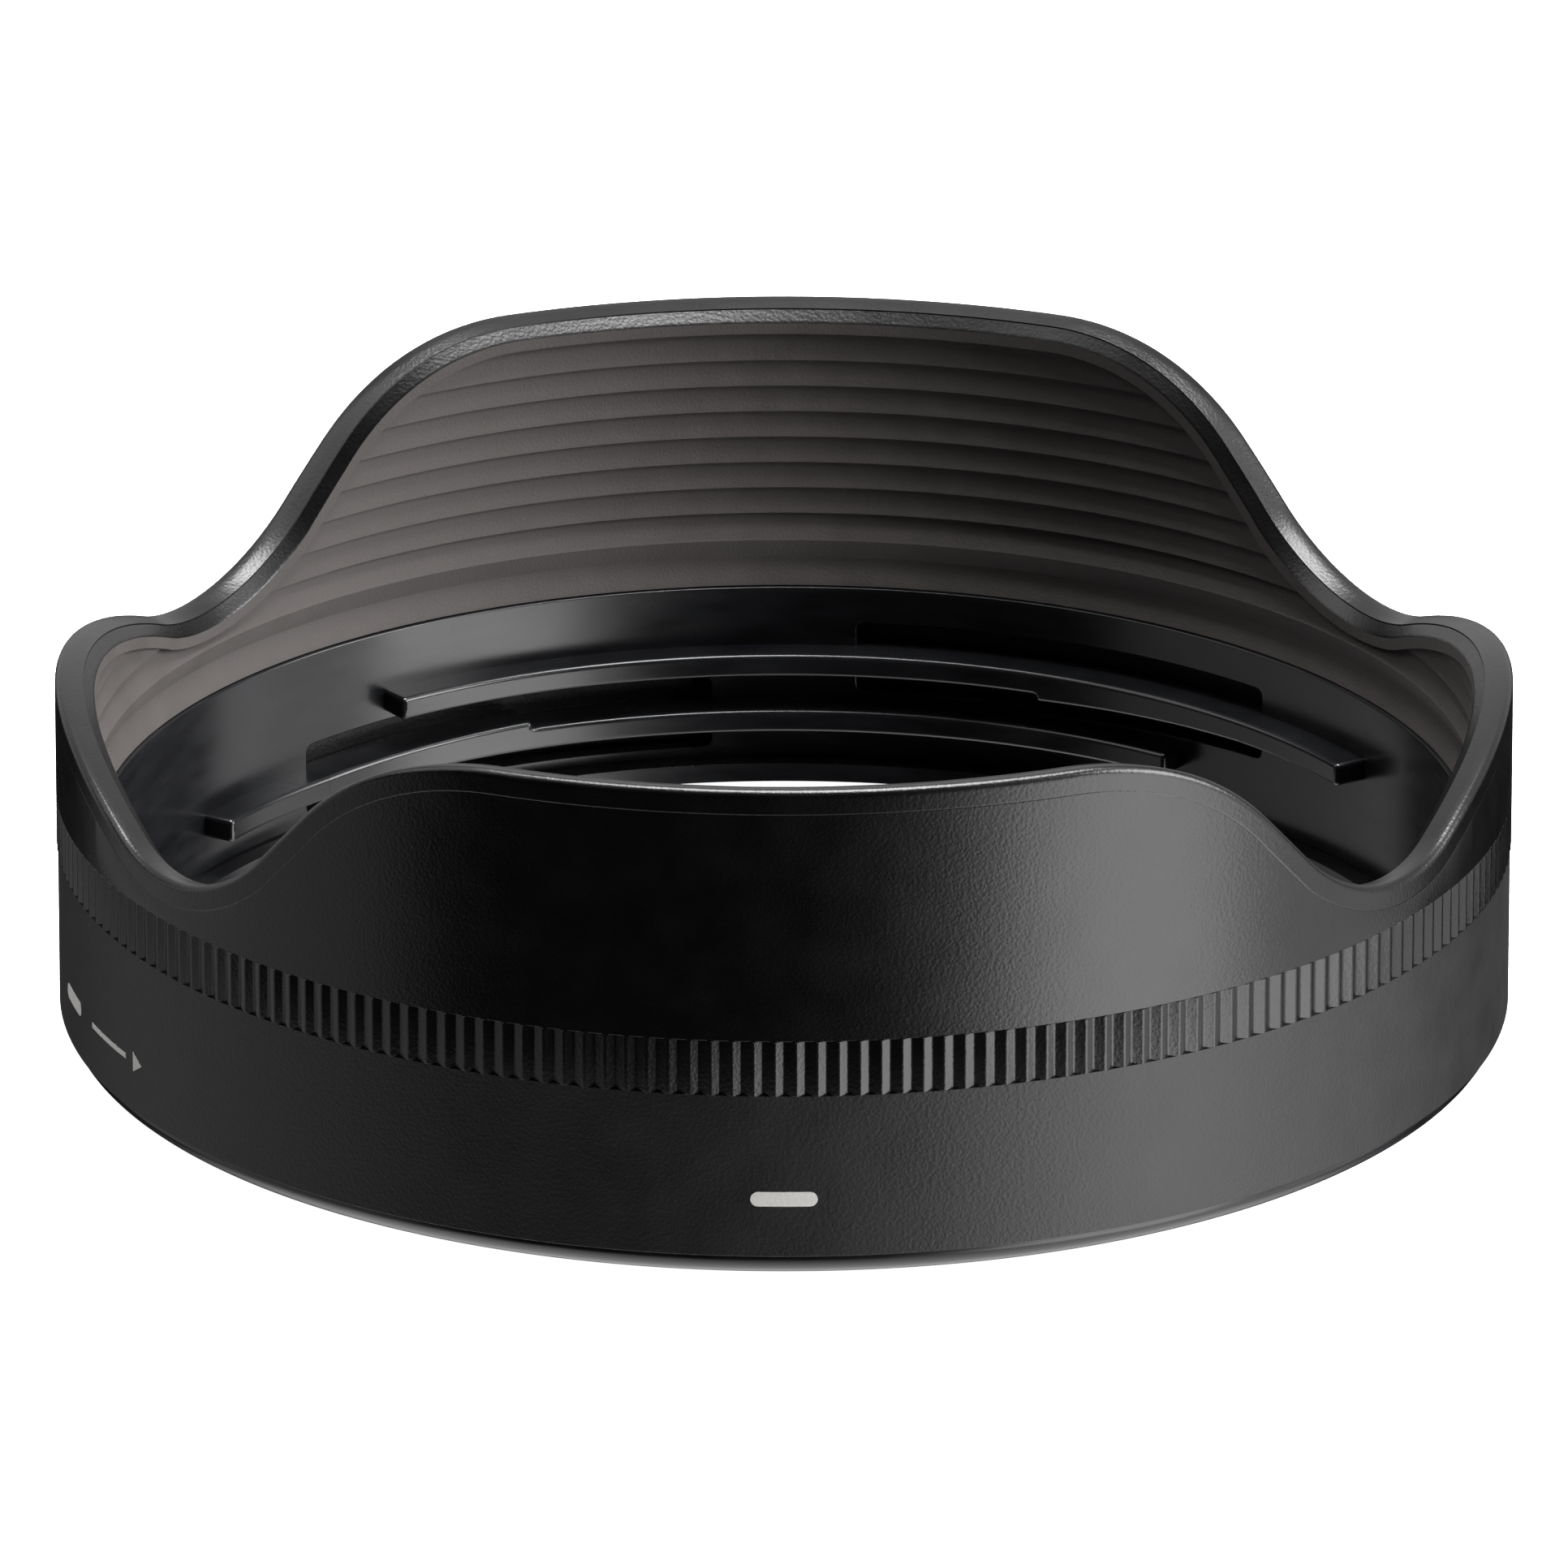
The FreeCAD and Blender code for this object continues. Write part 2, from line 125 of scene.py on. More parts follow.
# Bayonet ring; the angles are those of the upper level's first window.
RAIL_INNER = 35.15
BORE = 36.95
RING_OUTER = 37.85
RING_WALL_FOOT = 1.15
REAR_LIP_RADIUS = 35.7
REAR_LIP_HEIGHT = 1.1
BEAD_WIDTH = 1.4
RAIL_HEIGHT = 1.3
RAIL_EDGE = 0.27
RAIL_CORNER = 0.3
WINDOW_START = 6.3
WINDOW_END = 45.8
WINDOW_GAP = 1.4
WINDOW_STEP = 22.0
WINDOW_CORNER = 0.5
WINDOW_EDGE = 0.08
ARM_STEP = 0.4
ARM_STEP_ANGLE = 23.5
ARM_CLEARANCE = 0.02
RAIL_SHORT = 37.0
RAIL_LONG = 60.0
RAIL_OVERRUN = 2.0

# How close points have to be to count as one, in a section, a plate and a closed ring.
SAME_PLACE = 1e-5
PLATE_JOIN = 1e-4
RING_JOIN = 1e-3

# Studio; the camera aims at a share of the hood's height.
CAMERA_ELEVATION = math.radians(20.553)
CAMERA_DISTANCE = 1.1778
CAMERA_AIM = 0.48
LAMP_DISTANCE = 1.2
FLOOR_HALF = 6.0
FLOOR_DROP = 0.0002


# ---------------------------------------------------------------- mesh helpers


def add_object(name, mesh, materials, body):
    """Put a finished mesh into the scene, riding on a body."""
    for material in materials:
        mesh.materials.append(material)
    piece = bpy.data.objects.new(name, mesh)
    bpy.context.scene.collection.objects.link(piece)
    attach(piece, body)
    return piece


def mesh_from(name, build, sharp_angle=35.0):
    """Close a bmesh into a smooth-shaded mesh, scaled from millimetres to metres."""
    bmesh.ops.recalc_face_normals(build, faces=build.faces)
    bmesh.ops.scale(build, vec=(MM, MM, MM), verts=build.verts)
    mesh = bpy.data.meshes.new(name)
    build.to_mesh(mesh)
    build.free()
    mesh.shade_smooth()
    mesh.set_sharp_from_angle(angle=math.radians(sharp_angle))
    return mesh


def even_normals(piece):
    """Let large faces keep flat shading next to their small bevels."""
    modifier = piece.modifiers.new("even_normals", "WEIGHTED_NORMAL")
    modifier.keep_sharp = True
    modifier.thresh = 0.0
    return piece


def outward(place):
    """Level direction away from the axis at a place."""
    return Vector((place.x, place.y, 0.0)).normalized()


def plain_face(face):
    """Kind and side of a face that is a wall round the axis or level, else None."""
    nearly_one = 0.996
    across = face.normal.dot(outward(face.center))
    if abs(across) > nearly_one:
        return "wall", math.copysign(1.0, across)
    if abs(face.normal.z) > nearly_one:
        return "level", math.copysign(1.0, face.normal.z)
    return None


def is_end_cap(face):
    """True for a face that looks along the turning direction."""
    most_lift, most_outward = 0.05, 0.2
    across = face.normal.dot(outward(face.center))
    return abs(face.normal.z) < most_lift and abs(across) < most_outward


def round_normals(mesh):
    """Exact shading normals for walls bent round the axis and for level faces.

    Long thin faces between the windows would otherwise shade unevenly.  The rounded
    edges, which are neither, blend into them.
    """
    plain = [plain_face(face) for face in mesh.polygons]
    at_vertex = {}
    for face in mesh.polygons:
        if plain[face.index]:
            for vertex in face.vertices:
                at_vertex.setdefault(vertex, plain[face.index])

    normals = []
    smooth = mesh.corner_normals
    for face in mesh.polygons:
        own_normals = is_end_cap(face)
        for loop in face.loop_indices:
            vertex = mesh.loops[loop].vertex_index
            rule = plain[face.index] or (None if own_normals else at_vertex.get(vertex))
            if rule is None:
                normals.append(smooth[loop].vector.copy())
            elif rule[0] == "wall":
                normals.append(outward(mesh.vertices[vertex].co) * rule[1])
            else:
                normals.append(Vector((0.0, 0.0, rule[1])))
    mesh.normals_split_custom_set(normals)
    return mesh


def join_rows(build, rows):
    """Faces between neighbouring closed sections, all the way round."""
    for index, here in enumerate(rows):
        after = rows[(index + 1) % len(rows)]
        for point in range(len(here)):
            follow = (point + 1) % len(here)
            build.faces.new((here[point], here[follow], after[follow], after[point]))


def turned_shell(section_at, count):
    """Closed shell round the axis; section_at(azimuth) lists (radius, height) points."""
    build = bmesh.new()
    rows = []
    for index in range(count):
        azimuth = 360.0 * index / count
        angle = math.radians(azimuth)
        across, along = math.sin(angle), math.cos(angle)
        rows.append([
            build.verts.new((radius * across, radius * along, height))
            for radius, height in section_at(azimuth)
        ])
    join_rows(build, rows)
    return build, rows


def soft_corners(corners, radius, points=5):
    """Closed outline through the corners, each rounded off over a distance radius."""
    outline = []
    count = len(corners)
    for index, corner in enumerate(corners):
        corner = Vector(corner)
        before = Vector(corners[index - 1]) - corner
        after = Vector(corners[(index + 1) % count]) - corner
        start = corner + before.normalized() * min(radius, before.length / 2)
        end = corner + after.normalized() * min(radius, after.length / 2)
        for step in range(points):
            share = step / (points - 1)
            rest = 1 - share
            outline.append(start * rest ** 2 + corner * 2 * share * rest + end * share ** 2)
    return outline


def arc_length(azimuth, radius):
    """Distance along a circle from azimuth zero."""
    return math.radians(azimuth) * radius


def flat_plate(outlines, thickness, bevel):
    """Flat plate with rounded edges.  The first outline is its edge, the others are holes."""
    curve = bpy.data.curves.new("plate", "CURVE")
    curve.dimensions = "2D"
    curve.fill_mode = "BOTH"
    curve.extrude = thickness / 2 - bevel
    curve.bevel_depth = bevel
    curve.bevel_resolution = 3
    curve.offset = -bevel
    for outline in outlines:
        spline = curve.splines.new("POLY")
        spline.points.add(len(outline) - 1)
        for point, place in zip(spline.points, outline):
            point.co = (place[0], place[1], 0.0, 1.0)
        spline.use_cyclic_u = True
    holder = bpy.data.objects.new("plate", curve)
    bpy.context.scene.collection.objects.link(holder)
    depsgraph = bpy.context.evaluated_depsgraph_get()
    mesh = bpy.data.meshes.new_from_object(holder.evaluated_get(depsgraph))
    build = bmesh.new()
    build.from_mesh(mesh)
    bpy.data.objects.remove(holder)
    bpy.data.curves.remove(curve)
    bpy.data.meshes.remove(mesh)
    bmesh.ops.remove_doubles(build, verts=build.verts, dist=PLATE_JOIN)
    return build


def cut_across(build, along, keep=None):
    """Slice a flat plate at a distance along it; keep says which side stays, if only one."""
    geometry = build.verts[:] + build.edges[:] + build.faces[:]
    bmesh.ops.bisect_plane(
        build, geom=geometry, plane_co=(along, 0, 0), plane_no=(1, 0, 0), dist=SAME_PLACE,
        clear_outer=keep == "below", clear_inner=keep == "above",
    )


def wrapped_plate(outlines, inner, outer, bevel, start=None, end=None, closed=False):
    """Plate drawn as (azimuth, height) outlines, bent round the axis between two radii.

    start and end are azimuths where the plate is cut off square, so that it meets
    a neighbour without a rounded edge.  A closed plate is a whole ring.
    """
    middle = (inner + outer) / 2
    if closed:
        start, end = -180.0, 180.0
    scaled = [[(arc_length(a, middle), h) for a, h in outline] for outline in outlines]
    build = flat_plate(scaled, outer - inner, bevel)
    if start is not None:
        cut_across(build, arc_length(start, middle), keep="above")
    if end is not None:
        cut_across(build, arc_length(end, middle), keep="below")
    low = min(vert.co.x for vert in build.verts)
    high = max(vert.co.x for vert in build.verts)
    slices = max(1, round(math.degrees((high - low) / middle)))
    for index in range(1, slices):
        cut_across(build, low + (high - low) * index / slices)
    for vert in build.verts:
        angle = vert.co.x / middle
        radius = middle + vert.co.z
        vert.co = Vector((radius * math.sin(angle), radius * math.cos(angle), vert.co.y))
    if closed:
        bmesh.ops.remove_doubles(build, verts=build.verts, dist=RING_JOIN)
    else:
        bmesh.ops.holes_fill(build, edges=[edge for edge in build.edges if edge.is_boundary])
    return build


def merged(builds):
    """One bmesh from several."""
    whole = bmesh.new()
    for build in builds:
        part = bpy.data.meshes.new("part")
        build.to_mesh(part)
        build.free()
        whole.from_mesh(part)
        bpy.data.meshes.remove(part)
    return whole


# ---------------------------------------------------------------- materials


class Shader:
    """A node material with a principled shader and coordinates in millimetres."""

    def __init__(self, name):
        self.material = bpy.data.materials.new(name)
        self.material.use_nodes = True
        self.tree = self.material.node_tree
        self.surface = self.tree.nodes["Principled BSDF"]
        place = self.tree.nodes.new("ShaderNodeTexCoord")
        self.millimetres = self.node("ShaderNodeVectorMath", operation="SCALE")
        self.millimetres.inputs["Scale"].default_value = 1 / MM
        self.join(place.outputs["Object"], self.millimetres.inputs[0])

    def node(self, kind, **settings):
        """New node with its settings."""
        made = self.tree.nodes.new(kind)
        for name, value in settings.items():
            setattr(made, name, value)
        return made

    def join(self, source, target):
        """Link an output to an input."""
        self.tree.links.new(source, target)

    def drive(self, socket, source):
        """Link an output to one of the shader's own sockets."""
        self.join(source, self.surface.inputs[socket])

    def set(self, **values):
        """Constant values on the shader's own sockets, named with _ for a space."""
        for name, value in values.items():
            self.surface.inputs[name.replace("_", " ")].default_value = value

    def noise(self, scale, detail=2.0, stretch=None):
        """Noise output; scale counts features per millimetre."""
        noise = self.node("ShaderNodeTexNoise")
        noise.inputs["Scale"].default_value = scale
        noise.inputs["Detail"].default_value = detail
        source = self.millimetres.outputs[0]
        if stretch:
            mapping = self.node("ShaderNodeMapping")
            mapping.inputs["Scale"].default_value = stretch
            self.join(source, mapping.inputs["Vector"])
            source = mapping.outputs["Vector"]
        self.join(source, noise.inputs["Vector"])
        return noise.outputs["Fac"]

    def pits(self, scale):
        """Small round cells, as left by spark erosion; scale counts them per millimetre."""
        cells = self.node("ShaderNodeTexVoronoi", feature="SMOOTH_F1")
        cells.inputs["Scale"].default_value = scale
        cells.inputs["Smoothness"].default_value = 0.6
        self.join(self.millimetres.outputs[0], cells.inputs["Vector"])
        return cells.outputs["Distance"]

    def between(self, factor, low, high, first=0.0, last=1.0):
        """Spread a value from the range low..high to first..last."""
        spread = self.node("ShaderNodeMapRange")
        limits = {"From Min": low, "From Max": high, "To Min": first, "To Max": last}
        for name, value in limits.items():
            spread.inputs[name].default_value = value
        self.join(factor, spread.inputs["Value"])
        return spread.outputs["Result"]

    def blend(self, factor, dark, light):
        """Colour between two colours."""
        mix = self.node("ShaderNodeMix", data_type="RGBA")
        mix.inputs["A"].default_value = (*dark, 1.0)
        mix.inputs["B"].default_value = (*light, 1.0)
        self.join(factor, mix.inputs["Factor"])
        return mix.outputs["Result"]

    def sum(self, first, second, weight):
        """first + second * weight."""
        add = self.node("ShaderNodeMath", operation="MULTIPLY_ADD")
        self.join(second, add.inputs[0])
        add.inputs[1].default_value = weight
        self.join(first, add.inputs[2])
        return add.outputs[0]

    def bump(self, height, depth_mm):
        """Relief from a height value."""
        bump = self.node("ShaderNodeBump")
        bump.inputs["Distance"].default_value = depth_mm * MM
        bump.inputs["Strength"].default_value = 1.0
        self.join(height, bump.inputs["Height"])
        self.drive("Normal", bump.outputs["Normal"])


def grain_plastic(name, dark, light, roughness, grain_depth):
    """Black plastic with a fine spark-eroded grain; the depth is in millimetres."""
    shader = Shader(name)
    grain = shader.sum(shader.pits(5.0), shader.noise(9.0), 0.8)
    shader.bump(grain, grain_depth)
    cloud = shader.noise(0.35)
    speck = shader.noise(5.0)
    tone = shader.sum(shader.between(cloud, 0.3, 0.7), speck, 0.6)
    shader.drive("Base Color", shader.blend(shader.between(tone, 0.2, 1.2), dark, light))
    rough = shader.between(cloud, 0.3, 0.7, roughness - 0.02, roughness + 0.02)
    shader.drive("Roughness", rough)
    shader.set(IOR=1.5)
    return shader.material


def trap_plastic():
    """Matt, slightly warm black of the light-trap steps."""
    dark, light = (0.047, 0.041, 0.039), (0.059, 0.052, 0.050)
    shader = Shader("matt_trap_black")
    grain = shader.sum(shader.noise(6.0, detail=3.0), shader.noise(14.0), 0.5)
    shader.bump(grain, 0.03)
    cloud = shader.noise(0.5, detail=3.0)
    shader.drive("Base Color", shader.blend(shader.between(cloud, 0.3, 0.7), dark, light))
    shader.drive("Roughness", shader.between(cloud, 0.3, 0.7, 0.7, 0.8))
    shader.set(IOR=1.45)
    return shader.material


def satin_plastic():
    """Smooth black plastic with faint streaks along the turning direction."""
    dark, light = (0.004, 0.0042, 0.005), (0.007, 0.0073, 0.0085)
    shader = Shader("black_satin_plastic")
    streaks = shader.noise(0.6, stretch=(0.4, 0.4, 1.6))
    shader.bump(shader.noise(8.0), 0.002)
    shader.drive("Base Color", shader.blend(shader.between(streaks, 0.35, 0.65), dark, light))
    shader.drive("Roughness", shader.between(streaks, 0.3, 0.7, 0.22, 0.28))
    shader.set(IOR=1.5)
    return shader.material


def pale_paint():
    """Pale filled print of the marks."""
    dark, light = (0.60, 0.585, 0.56), (0.70, 0.69, 0.665)
    shader = Shader("pale_paint")
    speck = shader.noise(10.0)
    shader.drive("Base Color", shader.blend(shader.between(speck, 0.3, 0.7), dark, light))
    shader.drive("Roughness", shader.between(speck, 0.3, 0.7, 0.5, 0.6))
    shader.bump(speck, 0.004)
    return shader.material


GRAIN = grain_plastic(
    "black_grain_plastic", (0.0004, 0.0004, 0.0005), (0.0011, 0.0011, 0.0012),
    roughness=0.29, grain_depth=0.008,
)
SLEEVE = grain_plastic(
    "black_sleeve_plastic", (0.0045, 0.0044, 0.0043), (0.0070, 0.0068, 0.0066),
    roughness=0.48, grain_depth=0.014,
)
TRAP = trap_plastic()
SATIN = satin_plastic()
PAINT = pale_paint()


# ---------------------------------------------------------------- petal barrel


def rim_outline(azimuth):
    """Height of the rim and 1 / cos(slope) at an azimuth, as in the CAD."""
    crest_start = OUTER * math.radians(CREST_HALF_ANGLE)
    flank_start = crest_start + CREST_RADIUS * math.sin(FLANK_SLOPE)
    flank_top = TOP - CREST_RADIUS * (1 - math.cos(FLANK_SLOPE))
    flank_foot = VALLEY_HEIGHT + VALLEY_RADIUS * (1 - math.cos(FLANK_SLOPE))
    valley_start = flank_start + (flank_top - flank_foot) / math.tan(FLANK_SLOPE)
    valley_middle = valley_start + VALLEY_RADIUS * math.sin(FLANK_SLOPE)
    side_middle = OUTER * math.pi / 2
    turn = 2 * math.atan((SIDE_HEIGHT - VALLEY_HEIGHT) / (side_middle - valley_middle))
    side_arc = (side_middle - valley_middle) / math.sin(turn) - VALLEY_RADIUS
    side_start = valley_middle + VALLEY_RADIUS * math.sin(turn)

    along = OUTER * math.radians(abs((azimuth + 90.0) % 180.0 - 90.0))
    if along <= crest_start:
        return TOP, 1.0
    if along <= flank_start:
        rise = math.sqrt(CREST_RADIUS ** 2 - (along - crest_start) ** 2)
        return TOP - CREST_RADIUS + rise, CREST_RADIUS / rise
    if along <= valley_start:
        return flank_top - (along - flank_start) * math.tan(FLANK_SLOPE), 1 / math.cos(FLANK_SLOPE)
    if along <= side_start:
        rise = math.sqrt(VALLEY_RADIUS ** 2 - (along - valley_middle) ** 2)
        return VALLEY_HEIGHT + VALLEY_RADIUS - rise, VALLEY_RADIUS / rise
    rise = math.sqrt(side_arc ** 2 - (side_middle - along) ** 2)
    return SIDE_HEIGHT - side_arc + rise, side_arc / rise


def rim_section():
    """(radius, drop) points over the rim, from the outer wall to the lip inside.

    Points close to an edge keep the flat faces beside it evenly shaded.
    """
    inner = OUTER - WALL
    groove_top = GROOVE_DROP - GROOVE_HALF
    beside = 0.06
    points = [
        (OUTER, GROOVE_DROP + GROOVE_HALF),
        (OUTER - GROOVE_DEPTH, GROOVE_DROP),
        (OUTER, groove_top),
        (OUTER, groove_top - beside),
        (OUTER, RIM_CORNER + beside),
    ]
    corner_steps = 6
    for step in range(corner_steps + 1):
        angle = math.pi / 2 * step / corner_steps
        radius = OUTER - RIM_CORNER + RIM_CORNER * math.cos(angle)
        points.append((radius, RIM_CORNER - RIM_CORNER * math.sin(angle)))
    points += [
        (inner + 1.2, 0.12),
        (inner + 0.60, 0.28),
        (inner + 0.59, 0.36),
        (inner + 0.11, 0.84),
        (inner + 0.05, 0.90),
        (inner, LIP_START),
        (inner, LIP_DROP - 0.04),
        (inner + 0.04, LIP_DROP),
    ]
    return points


RIM_SECTION = rim_section()
LIP_POINT = RIM_SECTION.index((OUTER - WALL, LIP_START))


def step_section():
    """(radius, height) points down the light-trap steps, from the top one to the ledge."""
    soft = STEP_SOFTNESS
    slope = STEP_DEPTH / STEP_PITCH
    points = []
    for index in reversed(range(STEP_COUNT)):
        tip_height = FIRST_STEP + index * STEP_PITCH
        points.append((STEP_TIP + STEP_DEPTH, tip_height + STEP_PITCH))
        points.append((STEP_TIP + slope * 2 * soft, tip_height + 2 * soft))
        points.append((STEP_TIP, tip_height + soft / 2))
        points.append((STEP_TIP + soft, tip_height))
    points.append((STEP_TIP + STEP_DEPTH, FIRST_STEP))
    return points


STEP_SECTION = step_section()


def step_radius(height):
    """Radius of the light-trap wall at a height."""
    share = ((height - FIRST_STEP) / STEP_PITCH) % 1.0
    if height < FIRST_STEP:
        return STEP_TIP + STEP_DEPTH
    return STEP_TIP + STEP_DEPTH * share


def foot_edge():
    """Softened outer edge where the barrel meets the grip band."""
    soft = 0.05
    return [(OUTER - soft, GRIP_HIGH.z), (OUTER, GRIP_HIGH.z + soft)]


def barrel_section(azimuth):
    """Closed section of the petal barrel at an azimuth.

    It starts at the foot's outer edge, goes up over the rim, down the steps, the ledge
    and the plain band, and ends in the seat of the bayonet ring and inside the foot.
    """
    rim, stretch = rim_outline(azimuth)
    foot = GRIP_HIGH.z
    section = foot_edge()
    section += [(radius, rim - drop * stretch) for radius, drop in RIM_SECTION]
    lip = rim - LIP_DROP * stretch
    for radius, height in STEP_SECTION:
        if height > lip:
            radius, height = step_radius(lip), lip
        section.append((radius, height))
    section += [
        (LEDGE_RADIUS + 0.08, LEDGE_HEIGHT + 0.13),
        (LEDGE_RADIUS + 0.03, LEDGE_HEIGHT + 0.05),
        (LEDGE_RADIUS, LEDGE_HEIGHT),
        (BAND_TOP_RADIUS, BAND_TOP_HEIGHT),
        (BAND_FOOT_RADIUS, RING_HIGH.z + 0.05),
        (BAND_FOOT_RADIUS + 0.25, RING_HIGH.z),
        (RING_OUTER, RING_HIGH.z - 0.3),
        (RING_OUTER, SEAT_HEIGHT),
        (SEAT_RADIUS, SEAT_HEIGHT),
        (SEAT_RADIUS, foot - 0.3),
    ]
    return section


def make_petal_barrel():
    """Petals with a rounded rim outside and the light-trap steps inside."""
    build, rows = turned_shell(barrel_section, BARREL_SECTIONS)
    grain_index, trap_index = 0, 1
    inside = set()
    first = len(foot_edge()) + LIP_POINT
    for row in rows:
        inside.update(row[first:])
    for face in build.faces:
        is_trap = all(vert in inside for vert in face.verts)
        face.material_index = trap_index if is_trap else grain_index
    bmesh.ops.dissolve_degenerate(build, edges=build.edges, dist=SAME_PLACE)
    name = "petal_barrel_shell"
    mesh = mesh_from(name, build, sharp_angle=28.0)
    piece = even_normals(add_object(name, mesh, [GRAIN, TRAP], "hood"))
    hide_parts("petal_barrel")
    return piece


# ---------------------------------------------------------------- grip ring and skirt

# One ridge: shares of its width, and how high it stands there, from 0 to 1.
RIDGE_SHAPE = (
    (0.0, 0.0),
    (0.08, 0.04),
    (0.47, 0.94),
    (0.53, 1.0),
    (0.59, 1.0),
    (0.64, 0.94),
    (0.94, 0.05),
)


def ridge_column(radius):
    """Closed section of the grip band where its ridges reach a radius."""
    low, high = GRIP_LOW.z, GRIP_HIGH.z
    return [
        (GRIP_INNER, low),
        (radius - 0.06, low),
        (radius - 0.015, low + 0.015),
        (radius, low + 0.06),
        (radius, high - 0.03),
        (radius - 0.03, high),
        (GRIP_INNER, high),
    ]


def make_grip_ring():
    """Band of fine ridges, each a little steeper on one flank."""
    build = bmesh.new()
    rows = []
    for index in range(RIDGE_COUNT):
        for share, rise in RIDGE_SHAPE:
            angle = 2 * math.pi * (index + share) / RIDGE_COUNT
            reach = OUTER - RIDGE_DEPTH + RIDGE_DEPTH * rise
            rows.append([
                build.verts.new((radius * math.cos(angle), radius * math.sin(angle), height))
                for radius, height in ridge_column(reach)
            ])
    join_rows(build, rows)
    mesh = mesh_from("grip_band", build, sharp_angle=40.0)
    piece = add_object("grip_band", mesh, [GRAIN], "hood")
    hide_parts("grip_ring")
    return piece


def make_skirt():
    """Plain rear sleeve with softened edges."""
    radius = SKIRT_HIGH.x
    low, high = SKIRT_LOW.z, SKIRT_HIGH.z
    section = [
        (SKIRT_INNER, low),
        (radius - 0.1, low),
        (radius - 0.03, low + 0.03),
        (radius, low + 0.1),
        (radius, high),
        (SKIRT_INNER, high),
    ]
    build, _ = turned_shell(lambda azimuth: section, PLAIN_SECTIONS)
    mesh = mesh_from("skirt_sleeve", build)
    piece = even_normals(add_object("skirt_sleeve", mesh, [SLEEVE], "hood"))
    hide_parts("rear_skirt")
    return piece


# ---------------------------------------------------------------- bayonet ring


def placed(outline, level, turn):
    """Outline of the upper level moved to a level and turned round the axis.

    The lower level is the upper one mirrored left to right and top to bottom.
    """
    if level == "upper":
        return [(azimuth + turn, UPPER_RAIL_TOP + height) for azimuth, height in outline]
    return [(turn - azimuth, LOWER_RAIL_FOOT - height) for azimuth, height in outline]


def rounded_outline(corners, radius, corner):
    """(azimuth, height) corners on a wall of that radius, each rounded off."""
    degrees = math.degrees(1 / radius)
    scaled = [(azimuth / degrees, height) for azimuth, height in corners]
    return [(place[0] * degrees, place[1]) for place in soft_corners(scaled, corner)]


def stepped_outline(start, step, end, gap, corner):
    """Outline of an arm or its window; heights count from the arm's plain long edge.

    Past its step the edge slopes back, and is level with the plain rail at the window's end.
    """
    top = gap
    shallow = -RAIL_HEIGHT - gap
    deep = shallow - ARM_STEP
    far = deep + ARM_STEP * (end - step) / (WINDOW_END - ARM_STEP_ANGLE)
    corners = [
        (start, top), (end, top), (end, far),
        (step, deep), (step, shallow), (start, shallow),
    ]
    return rounded_outline(corners, RING_OUTER, corner)


def rail_outline(start, end):
    """Plain stretch of rail between two azimuths."""
    corners = [(start, 0.0), (end, 0.0), (end, -RAIL_HEIGHT), (start, -RAIL_HEIGHT)]
    return rounded_outline(corners, RAIL_INNER, RAIL_CORNER)


def rail_pieces(level, turn):
    """The two fixed stretches of rail, cut off square on either side of a window."""
    before = rail_outline(-RAIL_SHORT, WINDOW_START + RAIL_OVERRUN)
    after = rail_outline(WINDOW_END - RAIL_OVERRUN, RAIL_LONG)
    into_wall = 0.3
    pieces = []
    for outline, cut, side in ((before, WINDOW_START, "end"), (after, WINDOW_END, "start")):
        if level == "lower":
            cut = -cut
            side = "start" if side == "end" else "end"
        square = {side: cut + turn}
        shape = placed(outline, level, turn)
        pieces.append(wrapped_plate([shape], RAIL_INNER, BORE + into_wall, RAIL_EDGE, **square))
    return pieces


def ring_wall():
    """Cylinder wall with its four windows.

    It is drawn a little longer than a whole turn, and the surplus is cut off.
    """
    reach = 190.0
    low, high = RING_WALL_FOOT, RING_HIGH.z
    outlines = [[(-reach, low), (reach, low), (reach, high), (-reach, high)]]
    window = stepped_outline(WINDOW_START, WINDOW_STEP, WINDOW_END, WINDOW_GAP, WINDOW_CORNER)
    for level in ("upper", "lower"):
        for turn in (0.0, 180.0):
            shape = placed(window, level, turn)
            middle = sum(azimuth for azimuth, _ in shape) / len(shape)
            shift = -360.0 if middle > 180.0 else 0.0
            outlines.append([(azimuth + shift, height) for azimuth, height in shape])
    return wrapped_plate(outlines, BORE, RING_OUTER, WINDOW_EDGE, closed=True)


def ring_bead():
    """Rounded rear flange with the low lip inside it."""
    flat_edge = RING_HIGH.x - BEAD_WIDTH
    height = SKIRT_LOW.z
    soft = 0.03
    section = [
        (REAR_LIP_RADIUS, 4 * soft),
        (REAR_LIP_RADIUS + soft, soft),
        (REAR_LIP_RADIUS + 4 * soft, 0.0),
        (flat_edge, 0.0),
    ]
    steps = 12
    for step in range(1, steps + 1):
        angle = math.pi / 2 * step / steps
        radius = flat_edge + BEAD_WIDTH * math.sin(angle)
        section.append((radius, height - height * math.cos(angle)))
    section += [
        (RING_OUTER - 0.3, height),
        (BORE + 0.05, REAR_LIP_HEIGHT + 0.2),
        (BORE - 0.01, REAR_LIP_HEIGHT),
        (REAR_LIP_RADIUS + soft, REAR_LIP_HEIGHT),
        (REAR_LIP_RADIUS, REAR_LIP_HEIGHT - soft),
    ]
    build, _ = turned_shell(lambda azimuth: section, PLAIN_SECTIONS)
    return build


